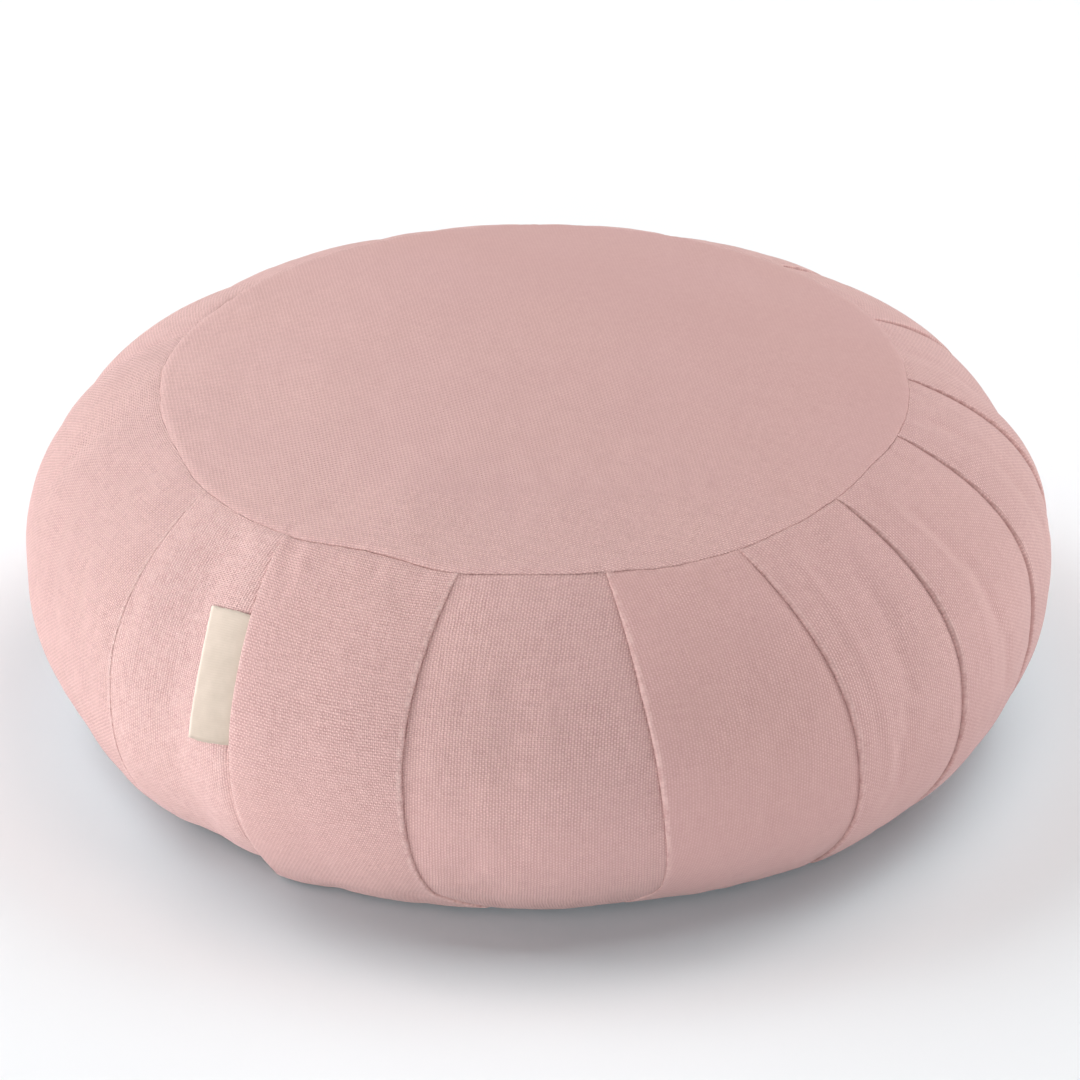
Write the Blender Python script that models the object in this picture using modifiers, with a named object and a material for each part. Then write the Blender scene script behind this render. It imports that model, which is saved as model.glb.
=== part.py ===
"""Zafu: a round, firmly filled meditation cushion with a pleated side band and a ribbon tag.

A strip of canvas is pleated round the side and sewn to one round panel above and one below.
Metres, +Z up. The origin is the middle of the face that it rests on, and -Y is the front.
Angles round the cushion are degrees from the front, growing towards +X.
"""

import math
from collections import namedtuple

import bmesh
import bpy
import numpy as np

MM = 0.001

# Section of the side: two rounded arcs that meet at the widest ring, the belly
BELLY_RADIUS = 0.200
BELLY_HEIGHT = 0.0655
SHOULDER_RISE = 0.0891  # the upper arc's height above the belly, if it ran on to the axis
SHOULDER_POWER = 2.39  # 2 is an ellipse, and more is squarer
UNDERSIDE_DROP = 0.1068
UNDERSIDE_POWER = 2.21
FOOT_CLEARANCE = 1.0 * MM  # height of the band beside the lower seam
FOOT_SOFTNESS = 1.5 * MM  # how gently the underside flattens towards it
OUTLINE_STEPS = 120

# Seams and round panels
SEAM_RADIUS = 0.1449
FOOT_RADIUS = 0.147
SEAM_WANDER = 8 * MM  # room inside the seam for the places where it is drawn in
CROWN_TOP = 0.1462
SEAM_DIP = 1.2 * MM  # both cloths are pulled in this far by the stitching
FOOT_DIP = 0.6 * MM
DIP_REACH = 6 * MM
CLOTH = 2.0 * MM
GAP = 0.4 * MM
SEAT_GAP = 0.6 * MM  # under the domed panel, whose thickness is measured square to its slope

# Folds
PILLOW = 1.5 * MM  # fall from the middle of a panel to its edges
TUCK_SPREAD = 0.55  # share of a fold's step that is spread over the whole panel below it
TUCK_REACH = 4 * MM
FOLD_ROUND = 0.6 * MM
FOLD_REACH = 1.5 * MM
FULLNESS_POWER = 0.35  # how soon the folds grow as they leave a seam
LOW_START = 0.45  # share of the way down where a step starts to change to its low height
LOW_REACH = 0.3

# Each pleat, in order round the cushion: its angle at the upper seam, the belly and the lower seam,
# the side whose cloth lies on top (+1 the next panel, -1 the one before), the height of its step at
# the belly and low down, then how far the upper seam wanders outwards at the pleat and at the middle
# of the panel after it, and how far the side swells at the same two places. Lengths are millimetres.
COLUMNS = "seam_deg belly_deg foot_deg over step low_step seam_out panel_out swell panel_swell"
Pleat = namedtuple("Pleat", COLUMNS)
PLEATS = (
    Pleat(-88.0, -84.5, -86.0, +1, 2.6, 2.6, 0.2, -0.4, 0.1, -2.6),
    Pleat(-58.0, -53.2, -56.0, -1, 2.4, 1.0, 1.9, 2.0, 0.9, -2.8),
    Pleat(-39.5, -35.0, -34.5, +1, 3.4, 4.0, 1.3, -2.8, 2.8, 0.6),
    Pleat(-11.5, -14.5, -9.0, -1, 3.6, 2.2, 0.8, -0.1, 0.2, -0.7),
    Pleat(10.0, 13.5, 13.0, +1, 3.0, 1.8, 0.2, 1.8, -0.9, -0.2),
    Pleat(30.5, 36.5, 37.0, +1, 3.4, 2.6, 1.4, -0.4, 2.8, 0.8),
    Pleat(51.5, 53.3, 54.0, +1, 3.6, 2.8, -1.9, -3.3, 2.0, 0.3),
    Pleat(74.0, 73.2, 69.5, +1, 3.4, 2.6, -1.9, -1.3, 0.9, 0.9),
    Pleat(93.0, 92.0, 91.0, +1, 3.2, 3.0, -0.9, 0.6, 1.6, -2.2),
    Pleat(114.5, 119.0, 118.0, +1, 3.2, 3.2, 2.0, 1.5, 0.9, 0.2),
    Pleat(137.5, 138.5, 140.0, +1, 3.2, 3.2, 1.0, -0.8, 0.7, -0.6),
    Pleat(160.0, 161.5, 160.0, +1, 3.0, 3.0, 0.6, 1.2, -0.6, -0.9),
    Pleat(182.5, 184.0, 183.0, +1, 3.4, 3.4, 0.4, -1.4, 0.0, -0.9),
    Pleat(205.0, 204.5, 206.5, +1, 3.0, 3.0, -0.6, 0.8, 0.8, 0.5),
    Pleat(228.0, 229.5, 229.0, +1, 3.2, 3.2, 1.0, -0.6, 0.7, 1.2),
    Pleat(250.0, 252.5, 251.0, +1, 3.0, 3.0, 1.6, 2.2, 0.6, 0.3),
)
PANEL_COLUMNS = (0.002, 0.03, 0.12, 0.35, 0.65, 0.88, 0.97, 0.998)  # places across each panel
SEAM_ROWS = (0.0, 2 * MM, 5 * MM, 10 * MM)  # rows close to a seam, by distance from it
ROWS_BETWEEN = 14
CROWN_RINGS = (0.3, 0.6, 0.82, 0.95, 1.0)  # shares of the round panel's radius
RIM_START = 0.96  # share of that radius where the edge starts to roll down into the seam

# Tag, on the panel before the pleat that it is sewn into
TAG_PLEAT = 2
TAG_WIDTH = 18 * MM
TAG_LENGTH = 50 * MM
TAG_FROM_SEAM = 36 * MM
TAG_SLANT = 3 * MM  # its free side hangs this much lower
TAG_THICKNESS = 1.2 * MM
TAG_LIFT = 0.6 * MM
TAG_FROM_FOLD = 0.8 * MM
TAG_COLUMNS = (0.0, 0.09, 0.25, 0.46, 0.72, 1.0)  # shares of its width, closest together at the fold
TAG_ROWS = 9

# Colour, as linear red, green and blue, and roughness
ROSE_CANVAS = ((0.66, 0.42, 0.40), 0.9)
CREAM_RIBBON = ((0.80, 0.68, 0.58), 0.7)
SHARP_DEG = 40  # edges that turn more than this are shaded sharp


def side_outline():
    """Radius, height and distance from the upper seam of points down the side's section."""
    start = math.asin(((SEAM_RADIUS - SEAM_WANDER) / BELLY_RADIUS) ** (SHOULDER_POWER / 2))
    end = math.asin((FOOT_RADIUS / BELLY_RADIUS) ** (UNDERSIDE_POWER / 2))
    upper = np.linspace(start, math.pi / 2, OUTLINE_STEPS)
    lower = np.linspace(math.pi / 2, end, OUTLINE_STEPS)[1:]
    reach = np.concatenate([np.sin(upper) ** (2 / SHOULDER_POWER), np.sin(lower) ** (2 / UNDERSIDE_POWER)])
    rise = SHOULDER_RISE * np.abs(np.cos(upper)) ** (2 / SHOULDER_POWER)
    drop = UNDERSIDE_DROP * np.abs(np.cos(lower)) ** (2 / UNDERSIDE_POWER)
    radius = BELLY_RADIUS * reach
    above = BELLY_HEIGHT + np.concatenate([rise, -drop]) - FOOT_CLEARANCE
    height = FOOT_CLEARANCE + FOOT_SOFTNESS * np.log1p(np.exp(above / FOOT_SOFTNESS))
    distance = np.concatenate([[0], np.cumsum(np.hypot(np.diff(radius), np.diff(height)))])
    distance -= np.interp(SEAM_RADIUS, radius[:OUTLINE_STEPS], distance[:OUTLINE_STEPS])
    return radius, height, distance


OUTLINE_RADIUS, OUTLINE_HEIGHT, OUTLINE_DISTANCE = side_outline()
SIDE_LENGTH = OUTLINE_DISTANCE[-1]


def outline_at(distance):
    """Radius, height and the outward normal's two parts, at a distance down from the upper seam."""
    places = [distance - MM / 2, distance, distance + MM / 2]
    radii = np.interp(places, OUTLINE_DISTANCE, OUTLINE_RADIUS)
    heights = np.interp(places, OUTLINE_DISTANCE, OUTLINE_HEIGHT)
    run = radii[2] - radii[0]
    fall = heights[0] - heights[2]
    size = math.hypot(run, fall)
    return radii[1], heights[1], fall / size, run / size


def pleat_angle(pleat, down):
    """The pleat's angle, on a smooth curve through its three places."""
    seam_share = (1 - down) * (1 - 2 * down)
    belly_share = 4 * down * (1 - down)
    foot_share = down * (2 * down - 1)
    return pleat.seam_deg * seam_share + pleat.belly_deg * belly_share + pleat.foot_deg * foot_share


def ease(start, end, share):
    return start + (end - start) * (1 - math.cos(math.pi * share)) / 2


def wander(at_left, at_middle, at_right, across):
    """A smooth change across a panel, through its values at the two pleats and between them."""
    if across < 0.5:
        return ease(at_left, at_middle, 2 * across)
    return ease(at_middle, at_right, 2 * across - 1)


def dip(distance, depth):
    """The pull of a seam's stitching on the cloth beside it."""
    return depth * max(0.0, 1 - distance / DIP_REACH) ** 2


def panel_width(panel, down):
    """Width of a panel along the cloth at one height."""
    following = PLEATS[(panel + 1) % len(PLEATS)]
    width_deg = (pleat_angle(following, down) - pleat_angle(PLEATS[panel], down)) % 360
    return outline_at(SIDE_LENGTH * down)[0] * math.radians(width_deg)


def step_height(pleat, down):
    share = min(1.0, max(0.0, (down - LOW_START) / LOW_REACH))
    return MM * ease(pleat.step, pleat.low_step, share)


def fold_depth(step, lies_over, distance, width):
    """How far the cloth lies in from the outline beside a pleat, where the folds are fullest."""
    spread = (1 - distance / width) ** 3
    if lies_over:
        return PILLOW * spread + FOLD_ROUND * math.exp(-((distance / FOLD_REACH) ** 2))
    tuck = TUCK_SPREAD * spread + (1 - TUCK_SPREAD) * math.exp(-((distance / TUCK_REACH) ** 2))
    return PILLOW * spread + step * tuck


def side_point(panel, across, down, lift=0.0):
    """A point on the band, or lifted off it: across its panel and down from seam to seam, 0 to 1."""
    left = PLEATS[panel]
    right = PLEATS[(panel + 1) % len(PLEATS)]
    start = pleat_angle(left, down)
    width_deg = (pleat_angle(right, down) - start) % 360
    angle = math.radians(start + width_deg * across)
    seam = MM * wander(left.seam_out, left.panel_out, right.seam_out, across)
    distance = seam + (SIDE_LENGTH - seam) * down
    radius, height, out, up = outline_at(distance)
    width = radius * math.radians(width_deg)
    depth = fold_depth(step_height(left, down), left.over > 0, across * width, width)
    depth += fold_depth(step_height(right, down), right.over < 0, (1 - across) * width, width)
    depth -= MM * wander(left.swell, left.panel_swell, right.swell, across)
    depth *= math.sin(math.pi * down) ** FULLNESS_POWER if 0 < down < 1 else 0
    depth += dip(distance - seam, SEAM_DIP) + dip(SIDE_LENGTH - distance, FOOT_DIP)
    radius += (lift - depth) * out
    return (radius * math.sin(angle), -radius * math.cos(angle), height + (lift - depth) * up)


def panel_height(share, sunk=0.0):
    """The domed panel's height at a share of its radius, as a function of the height of its rim."""
    roll = max(0.0, (share - RIM_START) / (1 - RIM_START)) ** 2

    def height(rim):
        shoulder = rim + SEAM_DIP
        return shoulder + (CROWN_TOP - shoulder) * (1 - share**2) - SEAM_DIP * roll - sunk

    return height


def shrunk(ring, share, height_at):
    """A copy of a ring, drawn in to a share of its size, at heights found from the ring's own."""
    return [(x * share, y * share, height_at(z)) for x, y, z in ring]


def side_rows():
    near = np.array(SEAM_ROWS) / SIDE_LENGTH
    between = np.linspace(near[-1], 1 - near[-1], ROWS_BETWEEN + 2)[1:-1]
    return [*near, *between, *(1 - near[::-1])]


def side_ring(down):
    return [side_point(panel, across, down) for panel in range(len(PLEATS)) for across in PANEL_COLUMNS]


def lofted(rings, first_pole=None, last_pole=None):
    """A mesh of quads between closed rings of points, whose ends may close on a point."""
    mesh = bmesh.new()
    rows = [[mesh.verts.new(point) for point in ring] for ring in rings]
    count = len(rows[0])
    for upper, lower in zip(rows, rows[1:]):
        for k in range(count):
            after = (k + 1) % count
            mesh.faces.new((upper[k], lower[k], lower[after], upper[after]))
    if first_pole:
        pole = mesh.verts.new(first_pole)
        for k in range(count):
            mesh.faces.new((pole, rows[0][k], rows[0][(k + 1) % count]))
    if last_pole:
        pole = mesh.verts.new(last_pole)
        for k in range(count):
            mesh.faces.new((pole, rows[-1][(k + 1) % count], rows[-1][k]))
    return mesh


def material(name, finish):
    colour, roughness = finish
    made = bpy.data.materials.new(name)
    made.use_nodes = True
    shader = made.node_tree.nodes["Principled BSDF"]
    shader.inputs["Base Color"].default_value = (*colour, 1)
    shader.inputs["Roughness"].default_value = roughness
    shader.inputs["Metallic"].default_value = 0
    return made


def placed(name, mesh, surface, collection):
    """Puts a mesh in the scene as a named part, with a material."""
    data = bpy.data.meshes.new(name)
    mesh.to_mesh(data)
    mesh.free()
    data.shade_smooth()
    data.set_sharp_from_angle(angle=math.radians(SHARP_DEG))
    data.materials.append(surface)
    part = bpy.data.objects.new(name, data)
    collection.objects.link(part)
    return part


def thicken(part, name, thickness, side):
    """Gives a sheet its thickness, outwards (1) or inwards (-1)."""
    sheet = part.modifiers.new(name, "SOLIDIFY")
    sheet.thickness = thickness
    sheet.offset = side


def side_band(collection):
    """The filled body in its pleated band, open above and below for the round panels."""
    rings = [side_ring(down) for down in side_rows()]
    sunk = CLOTH + SEAT_GAP
    seat = [shrunk(rings[0], share, panel_height(share, sunk)) for share in CROWN_RINGS]
    floor = shrunk(rings[-1], 1, lambda rim: CLOTH + GAP)
    top = (0, 0, CROWN_TOP - sunk)
    mesh = lofted([*seat, *rings, floor], top, (0, 0, CLOTH + GAP))
    placed("side_band", mesh, material("rose_canvas_band", ROSE_CANVAS), collection)


def top_panel(collection):
    """The domed round panel, whose edge follows the seam as it wanders."""
    upper = side_ring(0)
    inset = 1 - GAP / SEAM_RADIUS
    rings = [shrunk(upper, share * inset, panel_height(share)) for share in CROWN_RINGS]
    mesh = lofted(rings, (0, 0, CROWN_TOP))
    part = placed("top_panel", mesh, material("rose_canvas_top", ROSE_CANVAS), collection)
    thicken(part, "canvas", CLOTH, -1)


def bottom_panel(collection):
    """The flat round panel that the cushion rests on."""
    lower = side_ring(1)
    inset = 1 - GAP / FOOT_RADIUS
    faces = [shrunk(lower, inset, lambda rim: CLOTH), shrunk(lower, inset, lambda rim: 0)]
    mesh = lofted(faces, (0, 0, CLOTH), (0, 0, 0))
    placed("bottom_panel", mesh, material("rose_canvas_base", ROSE_CANVAS), collection)


def tag(collection):
    """A folded ribbon that lies on one panel, with its ends under the next panel's fold."""
    panel = TAG_PLEAT - 1
    grid = bmesh.new()
    rows = []
    for down_step in range(TAG_ROWS):
        distance = TAG_FROM_SEAM + TAG_LENGTH * down_step / (TAG_ROWS - 1)
        row = []
        for share in TAG_COLUMNS:
            down = (distance + TAG_SLANT * share) / SIDE_LENGTH
            from_fold = TAG_FROM_FOLD + TAG_WIDTH * share
            across = 1 - from_fold / panel_width(panel, down)
            row.append(grid.verts.new(side_point(panel, across, down, TAG_LIFT)))
        rows.append(row)
    for upper, lower in zip(rows, rows[1:]):
        for k in range(len(TAG_COLUMNS) - 1):
            grid.faces.new((upper[k + 1], lower[k + 1], lower[k], upper[k]))
    part = placed("tag", grid, material("cream_ribbon", CREAM_RIBBON), collection)
    thicken(part, "folded ribbon", TAG_THICKNESS, 1)


def main():
    for old in list(bpy.data.objects):
        bpy.data.objects.remove(old, do_unlink=True)
    zafu = bpy.data.collections.new("zafu")
    bpy.context.scene.collection.children.link(zafu)
    side_band(zafu)
    top_panel(zafu)
    bottom_panel(zafu)
    tag(zafu)


main()
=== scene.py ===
# %% [markdown]
# # A zafu, dressed for its picture
#
# A zafu is the round cushion that people sit on to meditate. A long strip of canvas is
# pleated round the side, and one round panel is sewn in above it and one below. The strip
# is turned the right way out and stuffed hard, so the sides swell between the seams and
# every pleat opens a little like a shutter.
#
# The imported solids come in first. They are the frame that everything here is fitted to.

# %% Load the frame
import math
from collections import namedtuple

import bpy
import numpy as np
from mathutils import Matrix, Vector, noise


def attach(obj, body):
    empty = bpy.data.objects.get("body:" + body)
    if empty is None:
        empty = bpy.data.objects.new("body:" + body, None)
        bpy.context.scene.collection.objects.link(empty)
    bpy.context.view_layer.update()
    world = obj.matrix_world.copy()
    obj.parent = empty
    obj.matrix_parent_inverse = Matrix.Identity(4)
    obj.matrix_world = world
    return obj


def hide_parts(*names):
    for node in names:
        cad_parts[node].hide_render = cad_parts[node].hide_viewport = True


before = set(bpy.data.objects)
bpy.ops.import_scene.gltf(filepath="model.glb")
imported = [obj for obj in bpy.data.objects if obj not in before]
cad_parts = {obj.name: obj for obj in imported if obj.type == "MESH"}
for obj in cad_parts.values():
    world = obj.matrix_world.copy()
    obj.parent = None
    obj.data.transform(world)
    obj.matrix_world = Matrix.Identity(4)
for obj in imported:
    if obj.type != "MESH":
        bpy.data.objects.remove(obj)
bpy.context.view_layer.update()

MM = 0.001
print("frame nodes:", sorted(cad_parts))

# %% [markdown]
# ## The section of the side
#
# Cut the cushion through its middle and the side is two rounded arcs that meet at the
# belly, its widest ring. A superellipse draws such an arc with two numbers: how far it
# reaches and how square it is. The lower arc is flattened where it meets the floor. All
# later shapes are laid on this line by their distance down from the upper seam, because a
# sewer measures along the cloth and not through the air.

# %% The section, as a line from seam to seam
BELLY_RADIUS, BELLY_HEIGHT = 0.200, 0.0655
SHOULDER_RISE, SHOULDER_POWER = 0.0891, 2.39
UNDERSIDE_DROP, UNDERSIDE_POWER = 0.1068, 2.21
SEAM_RADIUS, FOOT_RADIUS = 0.1449, 0.147
FOOT_CLEARANCE, FOOT_SOFTNESS = 1.0 * MM, 1.5 * MM
SEAM_WANDER = 8 * MM
ARC_STEPS = 400


def side_line():
    start = math.asin(((SEAM_RADIUS - SEAM_WANDER) / BELLY_RADIUS) ** (SHOULDER_POWER / 2))
    end = math.asin((FOOT_RADIUS / BELLY_RADIUS) ** (UNDERSIDE_POWER / 2))
    upper = np.linspace(start, math.pi / 2, ARC_STEPS)
    lower = np.linspace(math.pi / 2, end, ARC_STEPS)[1:]
    reach = [np.sin(upper) ** (2 / SHOULDER_POWER), np.sin(lower) ** (2 / UNDERSIDE_POWER)]
    rise = SHOULDER_RISE * np.abs(np.cos(upper)) ** (2 / SHOULDER_POWER)
    drop = UNDERSIDE_DROP * np.abs(np.cos(lower)) ** (2 / UNDERSIDE_POWER)
    radius = BELLY_RADIUS * np.concatenate(reach)
    above = BELLY_HEIGHT + np.concatenate([rise, -drop]) - FOOT_CLEARANCE
    height = FOOT_CLEARANCE + FOOT_SOFTNESS * np.log1p(np.exp(above / FOOT_SOFTNESS))
    distance = np.append(0, np.cumsum(np.hypot(np.diff(radius), np.diff(height))))
    distance -= np.interp(SEAM_RADIUS, radius[:ARC_STEPS], distance[:ARC_STEPS])
    return distance, radius, height


LINE = side_line()
SIDE_LENGTH = LINE[0][-1]


def section(distance):
    """Radius, height and the outward normal's two parts at distances down the side."""
    def at(offset):
        return [np.interp(distance + offset, LINE[0], part) for part in LINE[1:]]
    (near_r, near_z), (radius, height), (far_r, far_z) = at(-MM), at(0), at(MM)
    run, fall = far_r - near_r, near_z - far_z
    size = np.hypot(run, fall)
    return radius, height, fall / size, run / size


print(f"cloth from seam to seam: {SIDE_LENGTH / MM:.0f} mm")

# %% [markdown]
# ## The pleats
#
# Each row of the table is one pleat: where it crosses the upper seam, the belly and the
# lower seam, in degrees round from the front, and which side's cloth lies on top. Two
# pleats near the tag turn the other way, as they do on a hand-folded band. A table keeps a
# fold's facts together, so that moving one fold moves its lip, its shadow and its weave at
# once.
#
# A second, shorter table holds what only shows close to: how far a lip really stands open,
# high up and low down, and how its line strays from the smooth curve. A fold that has been
# pressed flat shows as little more than a line, and one whose foot was caught askew in the
# lower seam curls along it.

# %% The table of pleats
# over is +1 where the cloth on the pleat's right lies on top, and -1 where the left does. The
# numbers after it are millimetres: the step on the belly and low down, how far out the upper
# seam wanders at the pleat and at the middle of the panel on its right, and how far the cloth
# swells at those two places.
COLUMNS = "seam_deg belly_deg foot_deg over step low_step seam_out panel_out swell panel_swell"
Pleat = namedtuple("Pleat", COLUMNS)
PLEATS = (
    Pleat(-88.0, -84.5, -86.0, +1, 2.6, 2.6, 0.2, -0.4, 0.1, -2.6),
    Pleat(-58.0, -53.2, -56.0, -1, 2.4, 1.0, 1.9, 2.0, 0.9, -2.8),
    Pleat(-39.5, -35.0, -34.5, +1, 3.4, 4.0, 1.3, -2.8, 2.8, 0.6),
    Pleat(-11.5, -14.5, -9.0, -1, 3.6, 2.2, 0.8, -0.1, 0.2, -0.7),
    Pleat(10.0, 13.5, 13.0, +1, 3.0, 1.8, 0.2, 1.8, -0.9, -0.2),
    Pleat(30.5, 36.5, 37.0, +1, 3.4, 2.6, 1.4, -0.4, 2.8, 0.8),
    Pleat(51.5, 53.3, 54.0, +1, 3.6, 2.8, -1.9, -3.3, 2.0, 0.3),
    Pleat(74.0, 73.2, 69.5, +1, 3.4, 2.6, -1.9, -1.3, 0.9, 0.9),
    Pleat(93.0, 92.0, 91.0, +1, 3.2, 3.0, -0.9, 0.6, 1.6, -2.2),
    Pleat(114.5, 119.0, 118.0, +1, 3.2, 3.2, 2.0, 1.5, 0.9, 0.2),
    Pleat(137.5, 138.5, 140.0, +1, 3.2, 3.2, 1.0, -0.8, 0.7, -0.6),
    Pleat(160.0, 161.5, 160.0, +1, 3.0, 3.0, 0.6, 1.2, -0.6, -0.9),
    Pleat(182.5, 184.0, 183.0, +1, 3.4, 3.4, 0.4, -1.4, 0.0, -0.9),
    Pleat(205.0, 204.5, 206.5, +1, 3.0, 3.0, -0.6, 0.8, 0.8, 0.5),
    Pleat(228.0, 229.5, 229.0, +1, 3.2, 3.2, 1.0, -0.6, 0.7, 1.2),
    Pleat(250.0, 252.5, 251.0, +1, 3.0, 3.0, 1.6, 2.2, 0.6, 0.3),
)
print(len(PLEATS), "pleats")

# %% The table of fold details
# How open the lip is high up and low down, how many lip radii the tucked cloth drops as it goes
# under, a gap in millimetres, how rubbed the lip is and how bright its painted highlight, and its strays
# and curl in degrees.
FOLD_COLUMNS = "open_share low_share sunk gap rubbed high_deg low_deg curl_deg"
Fold = namedtuple("Fold", FOLD_COLUMNS, defaults=(0.8, 0.8, 0.9, 0.02, 0.4, 0.0, 0.0, 0.0))
FOLDS = {
    0: Fold(0.3, 0.3, 1.0),
    1: Fold(0.2, 0.3, 1.1, 0.0, 1.5),
    2: Fold(0.45, 0.9, 0.5, 0.04, 0.8, 1.25, 0.3, -1.5),
    3: Fold(0.65, 0.8, 0.88, 0.02, 1.2, 0.0, -0.25, 5.0),
    4: Fold(1.0, 0.5, 1.2, 0.0, 0.9, -0.6, 0.8, -3.0),
    5: Fold(0.85, 0.9, 1.0, 0.0, 0.5, -0.3),
    6: Fold(0.85, 0.9, 1.05, 0.0, 0.6, -0.25),
    7: Fold(0.8, 0.9, 0.98, 0.0, 0.4, -0.3),
}


def fold_of(pleat):
    """The fold's details, which are the usual ones unless the table says otherwise."""
    return FOLDS.get(PLEATS.index(pleat), Fold())


def neighbours(panel):
    """The pleats at a panel's left and right."""
    return PLEATS[panel], PLEATS[(panel + 1) % len(PLEATS)]


# %% A pleat's line
# Where a fold strays from its smooth curve and where its foot curls, as shares of the way down.
HIGH_STRAY, HIGH_REACH, SEAM_CALM = 0.3, 0.2, 0.06
LOW_STRAY, LOW_STRAY_REACH = 0.76, 0.15
CURL_START, CURL_REACH = 0.78, 0.14


def ease(start, end, share):
    """A smooth change from start to end as share goes from 0 to 1."""
    return start + (end - start) * (1 - np.cos(np.pi * np.clip(share, 0, 1))) / 2


def pleat_angle(pleat, down):
    """The pleat's angle in degrees: a smooth curve through its three places, then its strays."""
    seam_share = (1 - down) * (1 - 2 * down)
    belly_share = 4 * down * (1 - down)
    foot_share = down * (2 * down - 1)
    angle = pleat.seam_deg * seam_share + pleat.belly_deg * belly_share + pleat.foot_deg * foot_share
    fold = fold_of(pleat)
    high = np.exp(-(((down - HIGH_STRAY) / HIGH_REACH) ** 2))
    high = high * (1 - np.exp(-((down / SEAM_CALM) ** 2)))
    low = np.exp(-(((down - LOW_STRAY) / LOW_STRAY_REACH) ** 2))
    curl = ease(0, fold.curl_deg, (down - CURL_START) / CURL_REACH)
    return angle + fold.high_deg * high + fold.low_deg * low + curl


# %% Smooth changes and smooth noise
SEED_STEP = 17.3


def wander(at_left, at_middle, at_right, across):
    """A smooth change across a panel, through its values at the pleats and between them."""
    first, second = ease(at_left, at_middle, 2 * across), ease(at_middle, at_right, 2 * across - 1)
    return np.where(across < 0.5, first, second)


def rough(points, size, seed):
    """Smooth noise from -1 to 1 at each point, whose lumps are about size metres across."""
    flat = points.reshape(-1, 3) / size + seed * SEED_STEP
    return np.array([noise.noise(Vector(p)) for p in flat]).reshape(points.shape[:-1])


print("first pleat, in degrees from seam to seam:", pleat_angle(PLEATS[0], np.linspace(0, 1, 5)).round(1))

# %% [markdown]
# ## Laying cloth on the side
#
# A pleat is a Z in the cloth: the panel runs under its neighbour, turns back, and turns
# again to come out as the neighbour's rounded lip. A bump map can't hide one panel behind
# another, so the Z is modelled: a few columns run under the lip, a few round it, and the
# rest cross the open panel. The cloth near a fold lies lower on the side that is tucked
# under, which is what gives each panel its pillow shape.

# %% How high a fold's step and lip stand
# The share of the way down at which a fold's low shape starts to take over, and its reach.
LOW_START, LOW_REACH = 0.45, 0.3
FULL_POWER, LEAST_OPEN = 0.35, 0.1
LIP_RADIUS, LIP_SHARE, LEAST_LIP = 1.9 * MM, 0.65, 0.12 * MM


def fullness(down):
    """How far the folds have opened: not at all at a seam, fully on the belly."""
    return np.sin(np.pi * np.clip(down, 0, 1)) ** FULL_POWER


def step_height(pleat, down):
    """Height of the step from one panel to the next, in metres."""
    low = ease(pleat.step, pleat.low_step, (down - LOW_START) / LOW_REACH)
    return MM * low * (LEAST_OPEN + (1 - LEAST_OPEN) * fullness(down))


def lip_radius(pleat, down):
    """Radius of the rounded lip that the upper panel turns back with."""
    fold = fold_of(pleat)
    share = ease(fold.open_share, fold.low_share, (down - LOW_START) / LOW_REACH)
    return np.minimum(LIP_RADIUS, LIP_SHARE * step_height(pleat, down) * share).clip(LEAST_LIP)


# %% Depth of the cloth beside a fold
PILLOW = 1.5 * MM
TUCK_SPREAD, TUCK_REACH, MOST_SPREAD = 0.55, 3 * MM, 0.8
# The ribbon tag needs a little room in its fold, and the room ends a margin past the tag.
TAG_PLEAT, TAG_FROM_SEAM, TAG_LENGTH, TAG_SLANTS = 2, 36 * MM, 50 * MM, (1.7 * MM, 4.0 * MM)
TAG_ROOM, TAG_MARGIN = 0.9 * MM, 2 * MM


def beside(pleat, is_over, x, width, down):
    """Depth at a distance x from a fold, on the side that lies over or on the one tucked in."""
    x = np.maximum(x, 0)
    spread = (1 - x / width) ** 3
    depth = PILLOW * spread * fullness(down)
    if is_over:
        return depth
    fold = fold_of(pleat)
    mouth = (2 - fold.sunk) * lip_radius(pleat, down) + fold.gap * MM * fullness(down)
    broad = np.minimum(TUCK_SPREAD * step_height(pleat, down), MOST_SPREAD * mouth)
    if pleat is PLEATS[TAG_PLEAT]:
        place = down * SIDE_LENGTH
        tag_end = TAG_FROM_SEAM + TAG_LENGTH + TAG_SLANTS[1]
        below_start = np.clip((place - TAG_FROM_SEAM + TAG_MARGIN) / TAG_MARGIN, 0, 1)
        above_end = np.clip((tag_end - place) / TAG_MARGIN, 0, 1)
        mouth = mouth + TAG_ROOM * (below_start * above_end)
    return depth + broad * spread + (mouth - broad) * np.exp(-((x / TUCK_REACH) ** 2))


belly_step = step_height(PLEATS[TAG_PLEAT], 0.5)
print(f"the tag's fold stands {belly_step / MM:.1f} mm high on the belly")

# %% [markdown]
# The filling also presses a few soft grooves into single panels, mostly from the upper seam
# down, and it leaves shallow dents. Each is a short stroke from one place on a panel to
# another, in shares of the panel's width and of the way down. Its depth and width are in
# millimetres, and a depth below zero is a ridge instead.

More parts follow.
